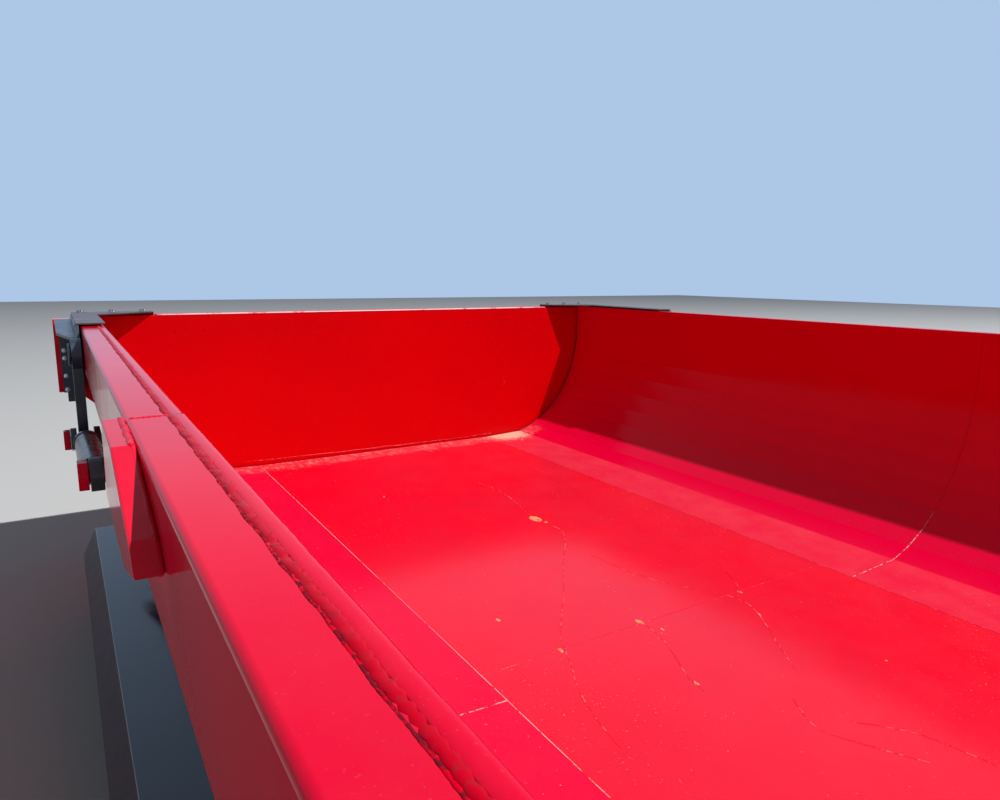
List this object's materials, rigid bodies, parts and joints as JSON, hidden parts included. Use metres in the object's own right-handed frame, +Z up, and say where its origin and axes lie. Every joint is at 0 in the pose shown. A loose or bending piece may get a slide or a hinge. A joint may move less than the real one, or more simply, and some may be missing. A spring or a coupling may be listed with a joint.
{
  "type": "tipping trailer load body",
  "caption": "Half-pipe load body of a farm tipping trailer with top rails, mudguards, underframe and a tailgate lifted by side rams.",
  "frame": {"origin": "bottom centre of the whole body, on the runners' underside", "axes": "+X to the headboard, +Y to the left side, +Z up"},
  "size_m": [5.1306, 2.5362, 0.9396],
  "materials": {
    "red_paint": "gloss red paint",
    "floor_red": "gloss red paint, scratched and dusty",
    "black_paint": "gloss black paint",
    "ram_paint": "gloss black paint",
    "zinc_steel": "zinc plated",
    "chrome_rod": "hard chrome",
    "seal_rubber": "matt"
  },
  "bodies": {
    "load_body": {"floor_plate_rear": "floor_red", "floor_plate_front": "floor_red", "side_sheet_rear_left": "red_paint", "side_sheet_rear_right": "red_paint", "side_sheet_front_left": "red_paint", "side_sheet_front_right": "red_paint", "headboard_sheet": "red_paint", "headboard_frame": "red_paint", "rail_rear_left": "red_paint", "rail_rear_right": "red_paint", "rail_front_left": "red_paint", "rail_front_right": "red_paint", "rail_lug_left": "red_paint", "rail_lug_right": "red_paint", "rear_frame": "red_paint", "gate_seal": "seal_rubber", "runner_left": "red_paint", "runner_right": "red_paint", "cross_bearers": "red_paint", "hinge_ears": "red_paint", "ram_cradle": "red_paint", "mudguard_left": "black_paint", "mudguard_right": "black_paint", "mudguard_stays": "black_paint", "arm_pivot_left": "zinc_steel", "arm_pivot_right": "zinc_steel", "ram_bracket_left": "red_paint", "ram_bracket_right": "red_paint", "ram_base_pin_left": "red_paint", "ram_base_pin_right": "red_paint"},
    "tailgate": {"gate_sheet": "red_paint", "gate_frame": "red_paint", "gate_post_left": "red_paint", "gate_post_right": "red_paint", "gate_arm_left": "black_paint", "gate_arm_right": "black_paint", "cap_plate_left": "black_paint", "cap_plate_right": "black_paint"},
    "ram_barrel_left": {"ram_barrel_left": "ram_paint"},
    "ram_barrel_right": {"ram_barrel_right": "ram_paint"},
    "ram_rod_left": {"ram_rod_left": "chrome_rod", "lever_nut_left": "red_paint"},
    "ram_rod_right": {"ram_rod_right": "chrome_rod", "lever_nut_right": "red_paint"}
  },
  "joints": [
    {"name": "tailgate_hinge", "type": "hinge", "parent": "load_body", "child": "tailgate", "pos_m": [-1.8201, 0, 0.8464], "axis": [0, 1, 0], "range_deg": [0, 60]},
    {"name": "ram_swing_left", "type": "hinge", "parent": "load_body", "child": "ram_barrel_left", "pos_m": [-1.0001, 1.208, 0.6904], "axis": [0, 1, 0], "range_deg": [0, 8.3]},
    {"name": "ram_stroke_left", "type": "slide", "parent": "ram_barrel_left", "child": "ram_rod_left", "axis": [-0.9935, 0, -0.1139], "range_m": [0, 0.212]},
    {"name": "ram_swing_right", "type": "hinge", "parent": "load_body", "child": "ram_barrel_right", "pos_m": [-1.0001, -1.208, 0.6904], "axis": [0, 1, 0], "range_deg": [0, 8.3]},
    {"name": "ram_stroke_right", "type": "slide", "parent": "ram_barrel_right", "child": "ram_rod_right", "axis": [-0.9935, 0, -0.1139], "range_m": [0, 0.212]}
  ],
  "couplings": [
    {"joint": "ram_swing_left", "follows": "tailgate_hinge", "ratio": 0.13754},
    {"joint": "ram_stroke_left", "follows": "tailgate_hinge", "m_per_rad": 0.20206},
    {"joint": "ram_swing_right", "follows": "tailgate_hinge", "ratio": 0.13754},
    {"joint": "ram_stroke_right", "follows": "tailgate_hinge", "m_per_rad": 0.20206}
  ]
}
